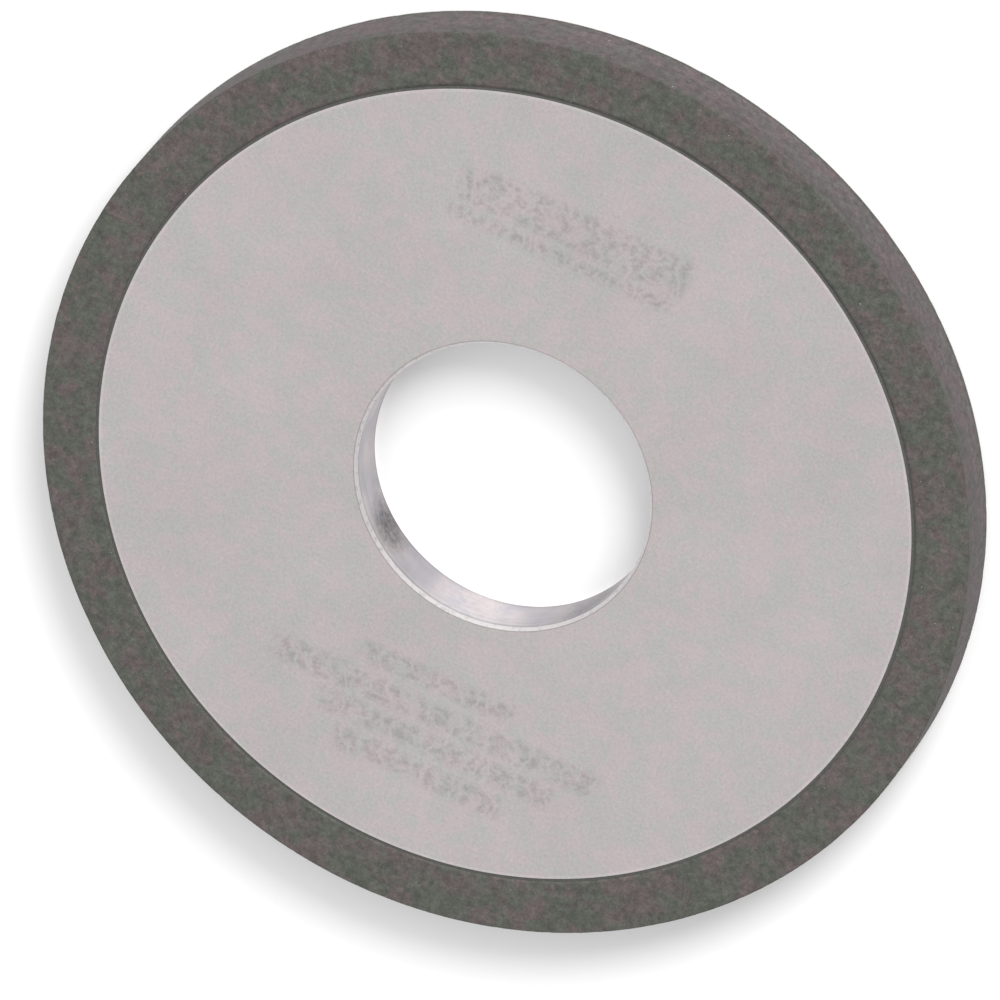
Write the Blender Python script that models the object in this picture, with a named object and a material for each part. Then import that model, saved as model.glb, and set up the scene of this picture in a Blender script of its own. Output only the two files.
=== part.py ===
"""Straight diamond grinding wheel, shape 1A1, 4 in across, for a 32 mm arbor.

Three turned pieces share the wheel's axis, which is +Z. The origin is the centre of the back
face, and the front face is up:

  core         aluminium disc with the bore, and a keying groove round its edge
  cement_ring  cured cement, a ring of cross-shaped section that fills the joint
  diamond_rim  resin-bond abrasive ring, with a matching groove round its inner side
"""

import math

import bmesh
import bpy

MM = 0.001
INCH = 0.0254

# Driving dimensions, in the way a 1A1 wheel is ordered
WHEEL_DIAMETER = 4.0 * INCH
WHEEL_THICKNESS = 0.25 * INCH
BORE_DIAMETER = 32.0 * MM
RIM_DEPTH = 6.25 * MM  # radial depth of the abrasive, from the wheel's edge inwards

# Broken edges
BORE_CHAMFER = 0.3 * MM
CORE_EDGE_CHAMFER = 0.12 * MM
RIM_EDGE_CHAMFER = 0.15 * MM

# Keyed joint between core and rim
JOINT_GAP = 0.3 * MM  # clearance between neighbouring pieces
LIP_THICKNESS = 1.0 * MM  # wall that closes the joint at each face of the wheel
POCKET_DEPTH = 0.4 * MM  # undercut behind the lips, in the core and in the rim
KEY_GROOVE_WIDTH = 1.4 * MM
KEY_GROOVE_DEPTH = 0.8 * MM  # measured from the floor of the pocket

SEGMENTS = 120  # flats round each turned piece
SHARP_ANGLE = math.radians(30)  # edges steeper than this stay sharp when shaded

WHEEL_RADIUS = WHEEL_DIAMETER / 2
BORE_RADIUS = BORE_DIAMETER / 2
CORE_RADIUS = WHEEL_RADIUS - RIM_DEPTH
RIM_INNER_RADIUS = CORE_RADIUS + JOINT_GAP

# Heights above and below the middle plane of the wheel
FACE = WHEEL_THICKNESS / 2
LIP = FACE - LIP_THICKNESS
KEY = KEY_GROOVE_WIDTH / 2


def material(name, colour, metallic, roughness):
    """A Principled material of one colour."""
    made = bpy.data.materials.new(name)
    made.use_nodes = True
    shader = made.node_tree.nodes["Principled BSDF"]
    shader.inputs["Base Color"].default_value = (*colour, 1.0)
    shader.inputs["Metallic"].default_value = metallic
    shader.inputs["Roughness"].default_value = roughness
    return made


def core_section():
    """Upper half of the core's section: grooved edge, top face, chamfered bore."""
    pocket = CORE_RADIUS - POCKET_DEPTH
    return [
        (pocket - KEY_GROOVE_DEPTH, KEY),
        (pocket, KEY),
        (pocket, LIP),
        (CORE_RADIUS, LIP),
        (CORE_RADIUS, FACE - CORE_EDGE_CHAMFER),
        (CORE_RADIUS - CORE_EDGE_CHAMFER, FACE),
        (BORE_RADIUS + BORE_CHAMFER, FACE),
        (BORE_RADIUS, FACE - BORE_CHAMFER),
    ]


def cement_section():
    """Upper half of the cement's section: a thin web with a key on each side of it."""
    web_outer = RIM_INNER_RADIUS + POCKET_DEPTH - JOINT_GAP
    web_inner = CORE_RADIUS - POCKET_DEPTH + JOINT_GAP
    web_top = LIP - JOINT_GAP
    key_top = KEY - JOINT_GAP
    return [
        (web_outer + KEY_GROOVE_DEPTH, key_top),
        (web_outer, key_top),
        (web_outer, web_top),
        (web_inner, web_top),
        (web_inner, key_top),
        (web_inner - KEY_GROOVE_DEPTH, key_top),
    ]


def rim_section():
    """Upper half of the rim's section: grinding edge, top face, grooved inner side."""
    pocket = RIM_INNER_RADIUS + POCKET_DEPTH
    return [
        (WHEEL_RADIUS, FACE - RIM_EDGE_CHAMFER),
        (WHEEL_RADIUS - RIM_EDGE_CHAMFER, FACE),
        (RIM_INNER_RADIUS, FACE),
        (RIM_INNER_RADIUS, LIP),
        (pocket, LIP),
        (pocket, KEY),
        (pocket + KEY_GROOVE_DEPTH, KEY),
    ]


def turned(name, upper_half, finish):
    """A ring turned round the wheel's axis from a section that mirrors in the middle plane."""
    lower_half = [(radius, -height) for radius, height in reversed(upper_half)]
    section = upper_half + lower_half

    shape = bmesh.new()
    corners = [shape.verts.new((radius, 0.0, FACE + height)) for radius, height in section]
    sides = [shape.edges.new(ends) for ends in zip(corners, corners[1:] + corners[:1])]
    bmesh.ops.spin(
        shape,
        geom=corners + sides,
        cent=(0.0, 0.0, 0.0),
        axis=(0.0, 0.0, 1.0),
        angle=math.tau,
        steps=SEGMENTS,
        use_merge=True,
    )
    bmesh.ops.recalc_face_normals(shape, faces=shape.faces)
    mesh = bpy.data.meshes.new(name)
    shape.to_mesh(mesh)
    shape.free()

    mesh.shade_smooth()
    mesh.set_sharp_from_angle(angle=SHARP_ANGLE)
    mesh.materials.append(finish)
    piece = bpy.data.objects.new(name, mesh)
    bpy.context.scene.collection.objects.link(piece)
    return piece


for old in list(bpy.data.objects):
    bpy.data.objects.remove(old)

aluminium = material("aluminium", (0.50, 0.48, 0.47), metallic=0.9, roughness=0.4)
cement = material("cement", (0.04, 0.04, 0.04), metallic=0.0, roughness=0.7)
abrasive = material("abrasive", (0.127, 0.124, 0.114), metallic=0.0, roughness=0.75)

wheel = bpy.data.objects.new("wheel", None)
bpy.context.scene.collection.objects.link(wheel)
for piece in (
    turned("core", core_section(), aluminium),
    turned("cement_ring", cement_section(), cement),
    turned("diamond_rim", rim_section(), abrasive),
):
    piece.parent = wheel
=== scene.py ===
"""Looks of a straight diamond grinding wheel that lies on a white floor, front face up.

The wheel's axis is +Z and the world's +X runs along the lines of the worn ink stamp. Lengths are
in metres. Core and rim repeat the sections of their CAD solids with finer edges. The cement also
fills the slot of the joint, which the CAD solids leave open.
"""

import math

import bmesh
import bpy
import numpy as np
from mathutils import Matrix, Vector, noise


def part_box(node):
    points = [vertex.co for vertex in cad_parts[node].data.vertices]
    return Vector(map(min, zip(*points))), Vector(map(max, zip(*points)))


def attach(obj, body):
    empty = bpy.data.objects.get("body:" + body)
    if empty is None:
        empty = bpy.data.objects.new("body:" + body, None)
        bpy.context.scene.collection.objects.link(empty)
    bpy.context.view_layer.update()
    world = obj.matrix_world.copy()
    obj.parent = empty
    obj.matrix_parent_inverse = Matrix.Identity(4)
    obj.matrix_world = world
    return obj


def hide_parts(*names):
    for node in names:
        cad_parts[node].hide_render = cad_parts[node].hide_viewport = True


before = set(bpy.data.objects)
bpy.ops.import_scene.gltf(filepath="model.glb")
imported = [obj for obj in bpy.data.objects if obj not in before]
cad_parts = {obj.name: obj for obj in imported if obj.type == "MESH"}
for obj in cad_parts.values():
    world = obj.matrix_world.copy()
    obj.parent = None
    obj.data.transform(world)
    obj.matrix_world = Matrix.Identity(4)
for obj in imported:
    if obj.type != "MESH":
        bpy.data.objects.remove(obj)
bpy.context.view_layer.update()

MM = 0.001

# Sizes that the frame gives
rim_high = Vector(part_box("diamond_rim")[1])
core_high = Vector(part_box("core")[1])
WHEEL_RADIUS = rim_high.x
THICKNESS = rim_high.z
CORE_RADIUS = core_high.x
FACE = THICKNESS / 2  # height of a face above the middle plane

# Sizes inside the pieces, as the CAD part has them
BORE_RADIUS = 16.0 * MM
JOINT_GAP = 0.3 * MM
RIM_INNER_RADIUS = CORE_RADIUS + JOINT_GAP
LIP = FACE - 1.0 * MM  # height of the lips' inner sides above the middle plane
KEY = 0.7 * MM  # half the width of the keying groove
POCKET_DEPTH = 0.4 * MM  # undercut behind the lips
KEY_GROOVE_DEPTH = 0.8 * MM  # measured from the floor of the pocket

# Edges as they look, which differ a little from the plain chamfers of the CAD part
BORE_CHAMFER = 0.38 * MM
BORE_EDGE_ROUNDING = 0.15 * MM
CORE_EDGE_BREAK = 0.05 * MM
CORE_FILLET = 0.02 * MM  # small arc on the core's other corners
RIM_EDGE_RADIUS = 0.14 * MM
CEMENT_RECESS = 0.05 * MM  # the cement ends this far below the faces

# Fineness of the meshes
CORE_SEGMENTS = 480
RIM_SEGMENTS = 900
RIM_CELL = 0.36 * MM  # spacing of the rings on the abrasive surfaces
FILLET_STEPS = 3

# Abrasive surface
BOND_RECESS = 0.03 * MM  # the bond lies this far below the tips of the grit
GRIT_SIZE = (0.045 * MM, 0.085 * MM)  # half the width of a crystal
GRIT_PER_FACE = 7000
GRIT_PER_EDGE = 7600
SEED = 4


# ---------------------------------------------------------------------------------------------
# Turned meshes


def filleted(corners, radius, steps=FILLET_STEPS):
    """Rounds each corner of a closed outline of (r, z) points with a small arc.

    A corner's third number, if it has one, is its own radius.
    """
    outline = []
    for index, corner in enumerate(corners):
        here = Vector(corner[:2])
        before = Vector(corners[index - 1][:2]) - here
        after = Vector(corners[(index + 1) % len(corners)][:2]) - here
        wanted = corner[2] if len(corner) > 2 else radius
        reach = min(wanted, before.length * 0.4, after.length * 0.4)
        start = here + before.normalized() * reach
        end = here + after.normalized() * reach
        for step in range(steps + 1):
            t = step / steps
            point = start * (1 - t) ** 2 + here * 2 * t * (1 - t) + end * t**2
            outline.append((point.x, point.y))
    return outline


def whole(upper_half):
    """Closes a section that mirrors in the middle plane, and lifts it onto the floor."""
    lower_half = [(r, -z, *radius) for r, z, *radius in reversed(upper_half)]
    return [(r, FACE + z, *radius) for r, z, *radius in upper_half + lower_half]


def ring_mesh(name, points, segments, move=None):
    """Turns a closed outline round +Z. move(position, normal) may shift each vertex."""
    points = np.array(points)
    rings = len(points)
    angles = np.arange(segments) * (math.tau / segments)
    across = np.roll(points, -1, axis=0) - np.roll(points, 1, axis=0)
    outward = np.stack([across[:, 1], -across[:, 0]], axis=1)
    outward /= np.linalg.norm(outward, axis=1)[:, None]
    cos, sin = np.cos(angles)[None, :], np.sin(angles)[None, :]

    def swept(pairs):
        r, z = pairs[:, :1], pairs[:, 1:]
        return np.stack([r * cos, r * sin, z + 0 * cos], axis=2).reshape(-1, 3)

    verts = swept(points)
    if move:
        verts = verts + move(verts, swept(outward))
    ring = np.arange(rings)[:, None]
    spoke = np.arange(segments)[None, :]
    next_ring = (ring + 1) % rings
    next_spoke = (spoke + 1) % segments
    quads = np.stack(
        [
            ring * segments + spoke,
            ring * segments + next_spoke,
            next_ring * segments + next_spoke,
            next_ring * segments + spoke,
        ],
        axis=2,
    ).reshape(-1, 4)
    mesh = bpy.data.meshes.new(name)
    mesh.from_pydata(verts.tolist(), [], quads.tolist())
    mesh.shade_smooth()
    mesh.update()
    return mesh


def piece_from(mesh, slot, *nodes):
    """Adds a piece that rides on the wheel and may stand for CAD nodes."""
    piece = bpy.data.objects.new(mesh.name, mesh)
    bpy.context.scene.collection.objects.link(piece)
    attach(piece, "root")
    if nodes:
        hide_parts(*nodes)
    return piece


def by_area(piece):
    """Keeps large flats flat while their fillets shade round."""
    weighted = piece.modifiers.new("Weighted normals", "WEIGHTED_NORMAL")
    weighted.mode = "FACE_AREA"
    weighted.weight = 100


# ---------------------------------------------------------------------------------------------
# Shader helpers


def new_material(name):
    """A node material. Returns it, its tree and its Principled node."""
    made = bpy.data.materials.new(name)
    made.use_nodes = True
    tree = made.node_tree
    return made, tree, tree.nodes["Principled BSDF"]


def add(tree, kind, inputs, **settings):
    """Adds a shader node, sets it up and returns its first output."""
    made = tree.nodes.new("ShaderNode" + kind)
    for key, value in settings.items():
        setattr(made, key, value)
    for key, value in inputs.items():
        if isinstance(value, bpy.types.NodeSocket):
            tree.links.new(value, made.inputs[key])
        else:
            made.inputs[key].default_value = value
    return made.outputs[0]


def maths(tree, operation, *values):
    return add(tree, "Math", dict(enumerate(values)), operation=operation)


def place(tree):
    """The point's place on the wheel, in millimetres."""
    coords = tree.nodes.new("ShaderNodeTexCoord").outputs["Object"]
    inputs = {0: coords, 1: (1 / MM, 1 / MM, 1 / MM)}
    return add(tree, "VectorMath", inputs, operation="MULTIPLY")


def split(tree, vector):
    """The three numbers of a vector."""
    made = tree.nodes.new("ShaderNodeSeparateXYZ")
    tree.links.new(vector, made.inputs[0])
    return made.outputs[0], made.outputs[1], made.outputs[2]


def distance(tree, vector, middle):
    made = add(tree, "VectorMath", {0: vector, 1: middle}, operation="DISTANCE").node
    return made.outputs["Value"]


def grain(tree, vector, size, detail=3.0, roughness=0.55):
    """Noise from 0 to 1 whose features are about size millimetres across."""
    inputs = {"Vector": vector, "Scale": 1 / size, "Detail": detail, "Roughness": roughness}
    return add(tree, "TexNoise", inputs)


def remap(tree, value, low, high, to_low, to_high, smooth=False):
    """Maps low..high to to_low..to_high and clamps it."""
    inputs = {0: value, 1: low, 2: high, 3: to_low, 4: to_high}
    kind = "SMOOTHSTEP" if smooth else "LINEAR"
    return add(tree, "MapRange", inputs, interpolation_type=kind)


def blend(tree, factor, first, second):
    """Mixes two colours."""
    made = tree.nodes.new("ShaderNodeMix")
    made.data_type = "RGBA"
    for socket, value in ((0, factor), (6, first), (7, second)):
        if isinstance(value, bpy.types.NodeSocket):
            tree.links.new(value, made.inputs[socket])
        else:
            made.inputs[socket].default_value = value
    return made.outputs[2]


def tinted(tree, colour, value):
    """A colour times a number."""
    inputs = {0: colour, "Scale": value}
    return add(tree, "VectorMath", inputs, operation="SCALE")


def bumped(tree, shader, height, distance, strength=1.0):
    """Relief of the given depth in metres."""
    inputs = {"Height": height, "Distance": distance, "Strength": strength}
    tree.links.new(add(tree, "Bump", inputs), shader.inputs["Normal"])


# ---------------------------------------------------------------------------------------------
# Materials


def radius_of(tree, x, y):
    squares = maths(tree, "ADD", maths(tree, "MULTIPLY", x, x), maths(tree, "MULTIPLY", y, y))
    return maths(tree, "SQRT", squares)


def window(tree, value, low, high, soft):
    """1 between low and high, 0 outside, with soft ends."""
    rise = remap(tree, value, low - soft, low + soft, 0.0, 1.0)
    fall = remap(tree, value, high - soft, high + soft, 1.0, 0.0)
    return maths(tree, "MULTIPLY", rise, fall)


# Rows of the ink stamp: left, right, bottom and top in millimetres, and the pitch of its blots
STAMP_ROWS = (
    (-15.3, 10.9, 28.7, 33.2, 2.9),
    (-15.5, 10.0, 26.6, 28.2, 1.3),
    (-8.2, 9.7, -25.6, -23.2, 2.1),
    (-17.2, 20.3, -29.6, -26.7, 2.3),
    (-11.0, 16.4, -32.9, -30.3, 2.2),
    (-8.0, 11.4, -36.5, -33.8, 2.4),
)


def stamp(tree, point, x, y, z):
    """Rows of worn ink blots on the front face, from 0 to 1. They spell nothing."""
    shift = remap(tree, grain(tree, point, 2.4, detail=2.0), 0.3, 0.7, 0.0, 1.3)
    total = None
    for left, right, bottom, top, pitch in STAMP_ROWS:
        row = maths(
            tree,
            "MULTIPLY",
            window(tree, x, left, right, 0.5),
            window(tree, y, bottom, top, 0.5),
        )
        phase = maths(tree, "ADD", maths(tree, "DIVIDE", x, pitch), shift)
        blot = remap(tree, maths(tree, "PINGPONG", phase, 0.5), 0.05, 0.30, 0.15, 1.0)
        row = maths(tree, "MULTIPLY", row, blot)
        total = row if total is None else maths(tree, "MAXIMUM", total, row)
    ink_wear_and_painted_ramp = remap(tree, grain(tree, point, 0.9, detail=4.0, roughness=0.75), 0.42, 0.60, 0.2, 1.0)
    front = remap(tree, z, THICKNESS / MM - 0.1, THICKNESS / MM - 0.05, 0.0, 1.0)
    return maths(tree, "MULTIPLY", maths(tree, "MULTIPLY", total, ink_wear_and_painted_ramp), front)


def chamfer_shade_line(tree, radius):
    """1 on the thin line where a chamfer meets its face, 0 elsewhere. Colour is darkened there as a
    painted shade line.
    """
    edge = (BORE_RADIUS + BORE_CHAMFER) / MM
    return window(tree, radius, edge - 0.03, edge + 0.05, 0.03)


def ground_aluminium():
    """Fine-ground faces of the core: even and satin, with faint warm and cool patches."""
    made, tree, shader = new_material("ground_aluminium")
    point = place(tree)
    x, y, z = split(tree, point)
    radius = radius_of(tree, x, y)

    fine = grain(tree, point, 0.32, detail=3.0, roughness=0.7)
    patch = grain(tree, point, 2.6, detail=4.0, roughness=0.6)
    clouds = grain(tree, point, 11.0, detail=2.0)
    tone = maths(
        tree,
        "ADD",
        remap(tree, fine, 0.25, 0.75, 0.88, 1.12),
        remap(tree, clouds, 0.3, 0.7, -0.025, 0.025),
    )
    # A band along the core's outer edge is lighter: partly a trued edge, partly a painted highlight
    # along the joint.
    trued = window(tree, radius, CORE_RADIUS / MM - 0.32, CORE_RADIUS / MM + 1.0, 0.08)
    tone = maths(tree, "ADD", tone, maths(tree, "MULTIPLY", trued, 0.10))
    # Painted shade: the face is darker on the thin line at the bore chamfer's outer edge.
    line = chamfer_shade_line(tree, radius)
    tone = maths(tree, "MULTIPLY", tone, remap(tree, line, 0.0, 1.0, 1.0, 0.64))
    ink = stamp(tree, point, x, y, z)
    tone = maths(tree, "MULTIPLY", tone, remap(tree, ink, 0.0, 1.0, 1.0, 0.80))
    metal = blend(
        tree,
        remap(tree, patch, 0.40, 0.60, 0.0, 1.0, smooth=True),
        (0.588, 0.575, 0.559, 1),
        (0.637, 0.570, 0.580, 1),
    )
    tree.links.new(tinted(tree, metal, tone), shader.inputs["Base Color"])

    shader.inputs["Metallic"].default_value = 1.0
    rough = remap(tree, fine, 0.3, 0.7, 0.40, 0.50)
    rough = maths(tree, "ADD", rough, maths(tree, "MULTIPLY", ink, 0.08))
    tree.links.new(rough, shader.inputs["Roughness"])
    bumped(tree, shader, fine, 0.004 * MM, 0.5)
    return made


# Two darker places on the bore wall and a painted highlight, which is brighter and so has a strength
# below zero: middle and reach in millimetres, and strength
DARK_PLACES_AND_PAINTED_HIGHLIGHT = (
    ((-10.6, -12.0, 2.5), 4.2, 0.66),
    ((12.9, -9.5, 4.0), 6.5, 0.42),
    ((1.2, -15.9, 3.2), 8.0, -0.45),
)


def turning_lines(tree, x, y, z, size):
    """Fine lines that run round the axis, from 0 to 1."""
    across = maths(tree, "ADD", z, radius_of(tree, x, y))
    slow_x = maths(tree, "MULTIPLY", x, 0.012)
    slow_y = maths(tree, "MULTIPLY", y, 0.012)
    stretched = add(tree, "CombineXYZ", {0: slow_x, 1: slow_y, 2: across})
    return grain(tree, stretched, size, detail=2.0)


def bore_aluminium():
    """Bore wall: satin metal with fine turning lines, faint stains, two darker places and a painted
    highlight.
    """
    made, tree, shader = new_material("bore_aluminium")
    point = place(tree)
    x, y, z = split(tree, point)
    lines = turning_lines(tree, x, y, z, 0.30)
    spots = grain(tree, point, 0.6, detail=4.0, roughness=0.7)
    stains = grain(tree, point, 4.0, detail=3.0)
    broken = remap(tree, spots, 0.35, 0.60, 0.5, 1.0)
    depth = maths(tree, "MINIMUM", maths(tree, "SUBTRACT", THICKNESS / MM, z), z)
    tone = maths(
        tree,
        "ADD",
        remap(tree, lines, 0.3, 0.7, 0.94, 1.05),
        remap(tree, spots, 0.3, 0.7, 0.03, -0.05),
    )
    tone = maths(tree, "MULTIPLY", tone, remap(tree, stains, 0.3, 0.7, 0.88, 1.10))
    # Painted shade: the bore wall is darker within about 0.85 mm of either face.
    tone = maths(tree, "MULTIPLY", tone, remap(tree, depth, 0.50, 0.85, 0.74, 1.0))
    # The first two places darken the wall; the last one brightens it as a painted highlight.
    for middle, reach, strength in DARK_PLACES_AND_PAINTED_HIGHLIGHT:
        away = distance(tree, point, middle)
        near = remap(tree, away, 0.2 * reach, reach, strength, 0.0, smooth=True)
        left = maths(tree, "SUBTRACT", 1.0, maths(tree, "MULTIPLY", near, broken))
        tone = maths(tree, "MULTIPLY", tone, left)
    metal = blend(
        tree,
        remap(tree, stains, 0.42, 0.58, 0.0, 1.0, smooth=True),
        (0.500, 0.480, 0.508, 1),
        (0.524, 0.484, 0.492, 1),
    )
    tree.links.new(tinted(tree, metal, tone), shader.inputs["Base Color"])
    shader.inputs["Metallic"].default_value = 1.0
    shader.inputs["Anisotropic"].default_value = 0.85
    shader.inputs["Anisotropic Rotation"].default_value = 0.25
    tangent = add(tree, "Tangent", {}, direction_type="RADIAL", axis="Z")
    tree.links.new(tangent, shader.inputs["Tangent"])
    tree.links.new(remap(tree, stains, 0.3, 0.7, 0.38, 0.35), shader.inputs["Roughness"])
    bumped(tree, shader, lines, 0.0015 * MM, 0.4)
    return made


def chamfer_aluminium():
    """Fresh metal of the bore's two chamfers."""
    made, tree, shader = new_material("chamfer_aluminium")
    point = place(tree)
    x, y, z = split(tree, point)
    lines = turning_lines(tree, x, y, z, 0.10)
    nicks = grain(tree, point, 0.5, detail=4.0, roughness=0.7)
    tone = maths(
        tree,
        "MULTIPLY",
        remap(tree, lines, 0.3, 0.7, 0.94, 1.05),
        remap(tree, nicks, 0.30, 0.48, 0.75, 1.0),
    )
    # Painted shade: the chamfer is darker on the thin line where it meets the face.
    line = chamfer_shade_line(tree, radius_of(tree, x, y))
    tone = maths(tree, "MULTIPLY", tone, remap(tree, line, 0.0, 1.0, 1.0, 0.50))
    tree.links.new(tinted(tree, (0.77, 0.738, 0.742), tone), shader.inputs["Base Color"])
    shader.inputs["Metallic"].default_value = 1.0
    tree.links.new(remap(tree, nicks, 0.3, 0.7, 0.67, 0.60), shader.inputs["Roughness"])
    bumped(tree, shader, nicks, 0.01 * MM, 0.5)
    return made


def resin_bond():
    """Dark mottled resin. The outer wall is a little browner and has faint lines round it."""
    made, tree, shader = new_material("resin_bond")
    point = place(tree)
    x, y, z = split(tree, point)
    radius = radius_of(tree, x, y)
    below = maths(tree, "SUBTRACT", THICKNESS / MM, z)  # depth under the front face
    depth = maths(tree, "MINIMUM", below, z)
    inward = maths(tree, "SUBTRACT", WHEEL_RADIUS / MM, radius)
    outer = remap(tree, inward, 0.20, 0.05, 0.0, 1.0)
    past_edge = remap(tree, depth, 0.35, 0.85, 0.0, 1.0, smooth=True)
    wall = maths(tree, "MULTIPLY", outer, past_edge)

    mottle = grain(tree, point, 0.75, detail=4.0, roughness=0.7)
    fine = grain(tree, point, 0.20, detail=3.0, roughness=0.7)
    patch = grain(tree, point, 2.8, detail=4.0, roughness=0.65)
    cells = tree.nodes.new("ShaderNodeTexVoronoi")
    tree.links.new(point, cells.inputs["Vector"])
    cells.inputs["Scale"].default_value = 4.5
    chip = maths(tree, "GREATER_THAN", split(tree, cells.outputs["Color"])[0], 0.93)
    chip = maths(
        tree, "MULTIPLY", chip, remap(tree, cells.outputs["Distance"], 0.15, 0.30, 1.0, 0.0)
    )
    tone = maths(
        tree,
        "MULTIPLY",
        remap(tree, mottle, 0.30, 0.70, 0.64, 1.36),
        remap(tree, fine, 0.30, 0.70, 0.72, 1.28),
    )
    tone = maths(tree, "MULTIPLY", tone, remap(tree, chip, 0.0, 1.0, 1.0, 1.6))
    # Painted shading on the outer wall: darker near the front face, lighter towards the back face.
    ink_wear_and_painted_ramp = remap(tree, below, 0.8, THICKNESS / MM - 0.5, 0.90, 1.16)
    tone = maths(tree, "MULTIPLY", tone, add(tree, "Mix", {0: wall, 2: 1.0, 3: ink_wear_and_painted_ramp}))
    # Painted shade: the outer wall is darker next to its front and back arrises.
    painted_arris_shade = remap(tree, past_edge, 0.0, 1.0, 0.72, 1.0)
    tone = maths(tree, "MULTIPLY", tone, add(tree, "Mix", {0: outer, 2: 1.0, 3: painted_arris_shade}))
    trued = remap(tree, turning_lines(tree, x, y, z, 0.22), 0.3, 0.7, 0.86, 1.14)
    tone = maths(tree, "MULTIPLY", tone, add(tree, "Mix", {0: wall, 2: 1.0, 3: trued}))

    warm = remap(tree, patch, 0.42, 0.60, 0.0, 1.0, smooth=True)
    face = blend(tree, warm, (0.0665, 0.0710, 0.0590, 1), (0.0850, 0.0690, 0.0665, 1))
    side = blend(tree, warm, (0.0600, 0.0545, 0.0535, 1), (0.0720, 0.0545, 0.0580, 1))
    colour = blend(tree, wall, face, side)
    tree.links.new(tinted(tree, colour, tone), shader.inputs["Base Color"])
    tree.links.new(remap(tree, fine, 0.3, 0.7, 0.62, 0.85), shader.inputs["Roughness"])
    height = maths(tree, "ADD", mottle, maths(tree, "MULTIPLY", fine, 0.6))
    bumped(tree, shader, height, 0.03 * MM, 0.6)
    return made


def cement_material():
    """Dark cured cement in the joint line."""
    made, tree, shader = new_material("cured_cement")
    point = place(tree)
    speck = grain(tree, point, 0.3, detail=3.0)
    amount = remap(tree, speck, 0.3, 0.7, 0.0, 1.0)
    colour = blend(tree, amount, (0.044, 0.044, 0.040, 1), (0.080, 0.079, 0.073, 1))
    tree.links.new(colour, shader.inputs["Base Color"])
    tree.links.new(remap(tree, speck, 0.3, 0.7, 0.55, 0.8), shader.inputs["Roughness"])
    bumped(tree, shader, speck, 0.02 * MM, 0.5)
    return made


# Colours of the grit along its tone, from dull and coated to the few fresh crystals
GRIT_TONES = (
    (0.0, (0.034, 0.034, 0.030, 1)),
    (0.55, (0.066, 0.064, 0.056, 1)),
    (0.97, (0.105, 0.100, 0.088, 1)),
    (0.994, (0.17, 0.17, 0.15, 1)),
    (1.0, (0.60, 0.60, 0.56, 1)),
)


def crystal_material():
    """Diamond grit: nearly all crystals are dull and coated, a few catch the light."""
    made, tree, shader = new_material("diamond_grit")
    tone = tree.nodes.new("ShaderNodeAttribute")
    tone.attribute_name = "tone"
    ramp = tree.nodes.new("ShaderNodeValToRGB")
    tree.links.new(tone.outputs["Fac"], ramp.inputs[0])
    elements = ramp.color_ramp.elements
    elements[0].position, elements[0].color = GRIT_TONES[0]
    elements[1].position, elements[1].color = GRIT_TONES[-1]
    for position, colour in GRIT_TONES[1:-1]:
        elements.new(position).color = colour
    tree.links.new(ramp.outputs[0], shader.inputs["Base Color"])
    rough = remap(tree, tone.outputs["Fac"], 0.97, 1.0, 0.6, 0.15)
    tree.links.new(rough, shader.inputs["Roughness"])
    return made


# ---------------------------------------------------------------------------------------------
# Pieces


def build_core():
    """Aluminium disc with the bore and the grooved edge, in three finishes."""
    pocket = CORE_RADIUS - POCKET_DEPTH
    corners = whole([
        (pocket - KEY_GROOVE_DEPTH, KEY),
        (pocket, KEY),
        (pocket, LIP),
        (CORE_RADIUS, LIP),
        (CORE_RADIUS, FACE - CORE_EDGE_BREAK),
        (CORE_RADIUS - CORE_EDGE_BREAK, FACE),
        (BORE_RADIUS + BORE_CHAMFER, FACE, BORE_EDGE_ROUNDING),
        (BORE_RADIUS, FACE - BORE_CHAMFER, BORE_EDGE_ROUNDING),
    ])
    mesh = ring_mesh("core_disc", filleted(corners, CORE_FILLET), CORE_SEGMENTS)
    for material in (ground_aluminium(), chamfer_aluminium(), bore_aluminium()):
        mesh.materials.append(material)
    chamfer_from = BORE_RADIUS + CORE_FILLET
    chamfer_to = BORE_RADIUS + BORE_CHAMFER - CORE_FILLET
    for face in mesh.polygons:
        radius = math.hypot(face.center.x, face.center.y)
        face.material_index = int(radius < chamfer_to) + int(radius < chamfer_from)
    by_area(piece_from(mesh, "core", "core"))


def build_cement():
    """Cement that fills the joint and covers the core's broken edges."""
    clear = 0.01 * MM
    pocket_in = CORE_RADIUS - POCKET_DEPTH + clear
    pocket_out = RIM_INNER_RADIUS + POCKET_DEPTH - clear
    inner, outer = CORE_RADIUS + clear, RIM_INNER_RADIUS - clear
    corners = whole([
        (pocket_out + KEY_GROOVE_DEPTH, KEY - clear),
        (pocket_out, KEY - clear),
        (pocket_out, LIP - clear),
        (outer, LIP - clear),
        (outer, FACE - CEMENT_RECESS),
        ((inner + outer) / 2, FACE - CEMENT_RECESS - clear),
        (inner - CORE_EDGE_BREAK, FACE - 0.012 * MM),
        (inner, FACE - CORE_EDGE_BREAK - clear),
        (inner, LIP - clear),
        (pocket_in, LIP - clear),
        (pocket_in, KEY - clear),
        (pocket_in - KEY_GROOVE_DEPTH, KEY - clear),
    ])
    mesh = ring_mesh("cement_line", filleted(corners, 0.01 * MM), CORE_SEGMENTS)
    mesh.materials.append(cement_material())
    by_area(piece_from(mesh, "cement", "cement_ring"))


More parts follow.
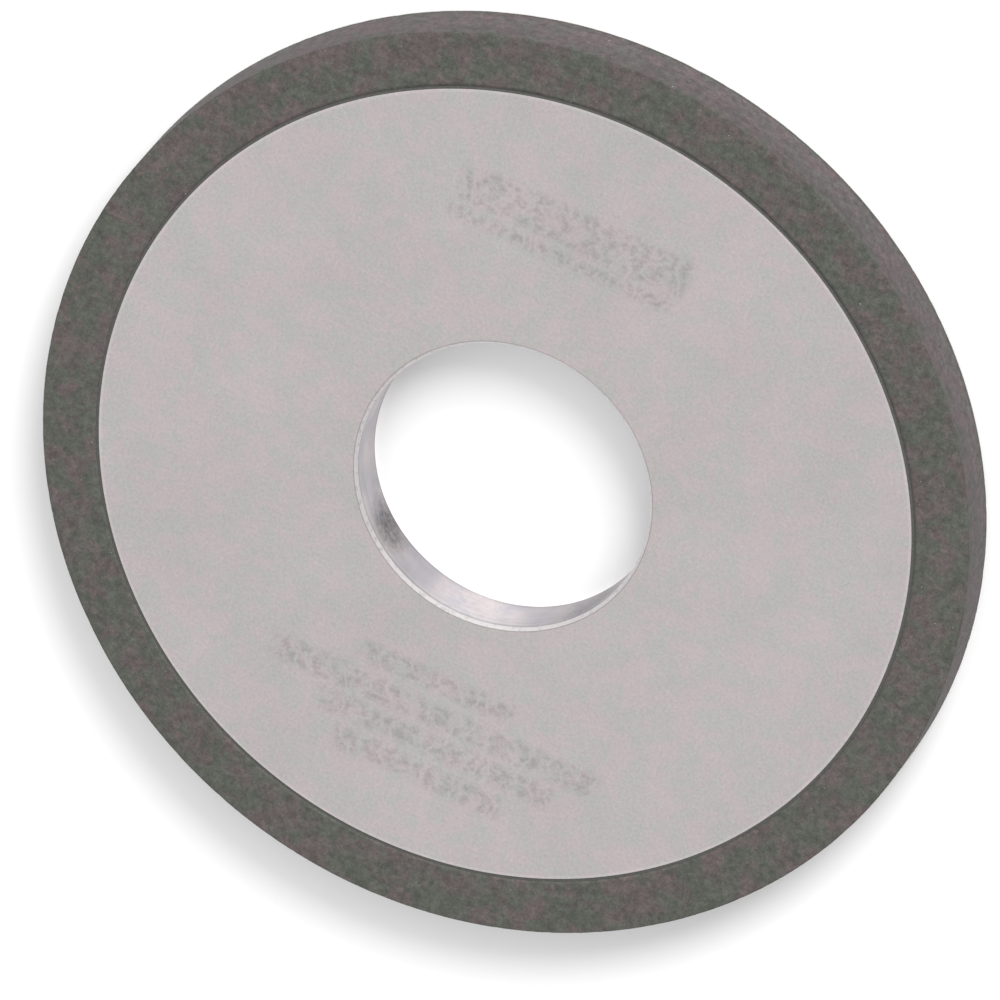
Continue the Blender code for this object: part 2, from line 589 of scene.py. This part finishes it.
def rim_outline():
    """Outline of the abrasive rim, with rings close enough for its relief."""
    pocket = RIM_INNER_RADIUS + POCKET_DEPTH
    top = FACE - BOND_RECESS
    outer = WHEEL_RADIUS - BOND_RECESS
    edge = RIM_EDGE_RADIUS
    wall = [(outer, z) for z in np.linspace(0.0, top - edge, round((top - edge) / RIM_CELL))]
    arris = [
        (outer - edge + edge * math.cos(turn), top - edge + edge * math.sin(turn))
        for turn in np.linspace(0.0, math.pi / 2, 6)[1:-1]
    ]
    across = outer - edge - RIM_INNER_RADIUS
    face = [(r, top) for r in np.linspace(outer - edge, RIM_INNER_RADIUS, round(across / RIM_CELL))]
    inside = [(RIM_INNER_RADIUS, LIP), (pocket, LIP), (pocket, KEY), (pocket + KEY_GROOVE_DEPTH, KEY)]
    upper = wall + arris + face + inside
    lower = [(r, -z) for r, z in reversed(upper) if z > 0]
    return [(r, FACE + z) for r, z in upper + lower]


def rim_relief(verts, normals):
    """Waviness, pitting and worn edges of the bond. Everything lies below the nominal surface."""
    shifts = np.zeros(len(verts))
    middle = np.abs(verts[:, 2] - FACE)
    radii = np.hypot(verts[:, 0], verts[:, 1])
    to_edge = np.hypot(FACE - BOND_RECESS - middle, WHEEL_RADIUS - BOND_RECESS - radii)
    outside = radii > RIM_INNER_RADIUS + 0.05 * MM
    shown = outside & ((middle > LIP + 0.1 * MM) | (radii > WHEEL_RADIUS - 0.5 * MM))
    for index in np.flatnonzero(shown):
        spot = Vector(verts[index] / MM)
        wave = noise.noise(spot * 0.45) * 0.006
        pits = min(0.0, noise.noise(spot * 1.9) + 0.1) * 0.035
        chips = max(0.0, noise.noise(spot * 0.8) - 0.12) * 0.06
        near = math.exp(-((to_edge[index] / (0.3 * MM)) ** 2))
        shifts[index] = (wave - 0.006 + pits - chips * near) * MM
    return normals * shifts[:, None]


def build_rim():
    """Abrasive ring with its own relief."""
    mesh = ring_mesh("abrasive_ring", rim_outline(), RIM_SEGMENTS, rim_relief)
    mesh.materials.append(resin_bond())
    by_area(piece_from(mesh, "abrasive_rim", "diamond_rim"))


CRYSTAL = np.array([(1, 0, 0), (-1, 0, 0), (0, 1, 0), (0, -1, 0), (0, 0, 1), (0, 0, -1)], float)
CRYSTAL_FACES = np.array([
    (0, 2, 4), (2, 1, 4), (1, 3, 4), (3, 0, 4), (2, 0, 5), (1, 2, 5), (3, 1, 5), (0, 3, 5),
])


def random_turns(random, count):
    """Random rotation matrices, from unit quaternions."""
    w, x, y, z = random.normal(size=(4, count))
    length = np.sqrt(w * w + x * x + y * y + z * z)
    w, x, y, z = w / length, x / length, y / length, z / length
    rows = [
        (1 - 2 * (y * y + z * z), 2 * (x * y - w * z), 2 * (x * z + w * y)),
        (2 * (x * y + w * z), 1 - 2 * (x * x + z * z), 2 * (y * z - w * x)),
        (2 * (x * z - w * y), 2 * (y * z + w * x), 1 - 2 * (x * x + y * y)),
    ]
    return np.moveaxis(np.array(rows), 2, 0)


def build_grit(name, centres, outward, material, random):
    """Irregular eight-sided crystals set in the bond, each with its own tone."""
    count = len(centres)
    size = random.uniform(*GRIT_SIZE, size=(count, 1, 1))
    shape = CRYSTAL[None] * random.uniform(0.65, 1.1, size=(count, 6, 1))
    shape = np.einsum("nij,nkj->nki", random_turns(random, count), shape) * size
    height = np.einsum("nkj,nj->nk", shape, outward)
    tip = height.max(axis=1)
    proud = random.uniform(0.0, 0.6, count) * BOND_RECESS + BOND_RECESS * 0.4
    sink = proud - BOND_RECESS - tip
    verts = (shape + (centres + outward * sink[:, None])[:, None, :]).reshape(-1, 3)
    faces = (CRYSTAL_FACES[None] + 6 * np.arange(count)[:, None, None]).reshape(-1, 3)
    mesh = bpy.data.meshes.new(name)
    mesh.from_pydata(verts.tolist(), [], faces.tolist())
    mesh.materials.append(material)
    tones = mesh.attributes.new("tone", "FLOAT", "FACE")
    tones.data.foreach_set("value", np.repeat(random.random(count) ** 0.9, 8))
    mesh.update()
    piece_from(mesh, "abrasive_rim")


def build_all_grit():
    random = np.random.default_rng(SEED)
    material = crystal_material()
    inner = RIM_INNER_RADIUS + 0.1 * MM
    outer = WHEEL_RADIUS - RIM_EDGE_RADIUS - BOND_RECESS
    for name, height, up in (("grit_front", THICKNESS, 1.0), ("grit_back", 0.0, -1.0)):
        radius = np.sqrt(random.uniform(inner**2, outer**2, GRIT_PER_FACE))
        angle = random.uniform(0, math.tau, GRIT_PER_FACE)
        flat = np.zeros(GRIT_PER_FACE)
        centres = np.stack([radius * np.cos(angle), radius * np.sin(angle), flat + height], axis=1)
        outward = np.stack([flat, flat, flat + up], axis=1)
        build_grit(name, centres, outward, material, random)
    angle = random.uniform(0, math.tau, GRIT_PER_EDGE)
    outward = np.stack([np.cos(angle), np.sin(angle), 0 * angle], axis=1)
    centres = outward * WHEEL_RADIUS
    centres[:, 2] = random.uniform(RIM_EDGE_RADIUS, THICKNESS - RIM_EDGE_RADIUS, GRIT_PER_EDGE)
    build_grit("grit_edge", centres, outward, material, random)


# ---------------------------------------------------------------------------------------------
# Floor, light and camera

FLOOR_ALBEDO = 0.90
FLOOR_RADIUS = 4.0
SKY = 0.84
LIGHT_DISTANCE = 4.0
# Name, direction round the axis from +X, elevation and width in degrees, and the radiance that the
# light adds to a perfect white floor. Only the fill shows as a glint in the metal.
LIGHTS = (
    ("key", 78.0, 28.0, 32.0, 0.53),
    ("fill", 99.0, 22.0, 74.0, 0.175),
)


def build_floor():
    """White floor that runs out of every view."""
    shape = bmesh.new()
    bmesh.ops.create_circle(shape, cap_ends=True, segments=96, radius=FLOOR_RADIUS)
    mesh = bpy.data.meshes.new("floor")
    shape.to_mesh(mesh)
    shape.free()
    made, tree, shader = new_material("white_floor")
    tone = remap(tree, grain(tree, place(tree), 30.0), 0.3, 0.7, 0.995, 1.0)
    white = (FLOOR_ALBEDO, FLOOR_ALBEDO, FLOOR_ALBEDO)
    tree.links.new(tinted(tree, white, tone), shader.inputs["Base Color"])
    shader.inputs["Roughness"].default_value = 1.0
    shader.inputs["Specular IOR Level"].default_value = 0.0
    mesh.materials.append(made)
    floor = bpy.data.objects.new("floor", mesh)
    bpy.context.scene.collection.objects.link(floor)


def build_world():
    """A plain white surround."""
    world = bpy.data.worlds.new("studio")
    world.use_nodes = True
    surround = world.node_tree.nodes["Background"]
    surround.inputs["Color"].default_value = (1.0, 1.0, 1.0, 1.0)
    surround.inputs["Strength"].default_value = SKY
    bpy.context.scene.world = world


def build_light(name, direction, elevation, width, strength):
    """A round soft light that faces the wheel."""
    turn, lift = math.radians(direction), math.radians(elevation)
    lamp = bpy.data.lights.new(name, "AREA")
    lamp.shape = "DISK"
    lamp.size = 2 * LIGHT_DISTANCE * math.tan(math.radians(width) / 2)
    lamp.energy = strength * (math.pi * LIGHT_DISTANCE) ** 2 / math.sin(lift)
    light = bpy.data.objects.new(name, lamp)
    toward = Vector((math.cos(turn) * math.cos(lift), math.sin(turn) * math.cos(lift), math.sin(lift)))
    light.location = toward * LIGHT_DISTANCE
    light.rotation_euler = toward.to_track_quat("Z", "Y").to_euler()
    light.visible_glossy = name == "fill"
    bpy.context.scene.collection.objects.link(light)


CAMERA_AZIMUTH = math.radians(163.3)
CAMERA_ELEVATION = math.radians(60.46)
CAMERA_ROLL = math.radians(219.1)
CAMERA_DISTANCE = 2082.6 * MM
CAMERA_LENS = 720.0  # mm, on a 36 mm sensor
CAMERA_RIGHT = -0.27 * MM  # the camera's axis passes this far beside the middle of the front face
CAMERA_UP = -1.36 * MM


def build_camera():
    """A long lens that looks down on the wheel from above its +Y side, rolled past upside down."""
    azimuth, elevation, roll = CAMERA_AZIMUTH, CAMERA_ELEVATION, CAMERA_ROLL
    back = Vector((
        math.sin(azimuth) * math.cos(elevation),
        -math.cos(azimuth) * math.cos(elevation),
        math.sin(elevation),
    ))
    level = Vector((math.cos(azimuth), math.sin(azimuth), 0.0))
    rise = back.cross(level)
    right = level * math.cos(roll) + rise * math.sin(roll)
    up = back.cross(right)
    aim = Vector((0.0, 0.0, THICKNESS)) + right * CAMERA_RIGHT + up * CAMERA_UP
    lens = bpy.data.cameras.new("camera")
    lens.lens = CAMERA_LENS
    lens.sensor_width = 36.0
    lens.clip_end = 20.0
    camera = bpy.data.objects.new("camera", lens)
    axes = Matrix((right, up, back)).transposed()
    camera.matrix_world = Matrix.Translation(aim + back * CAMERA_DISTANCE) @ axes.to_4x4()
    bpy.context.scene.collection.objects.link(camera)
    bpy.context.scene.camera = camera


bpy.context.scene.view_settings.view_transform = "Standard"
build_core()
build_cement()
build_rim()
build_all_grit()
build_floor()
build_world()
for light in LIGHTS:
    build_light(*light)
build_camera()
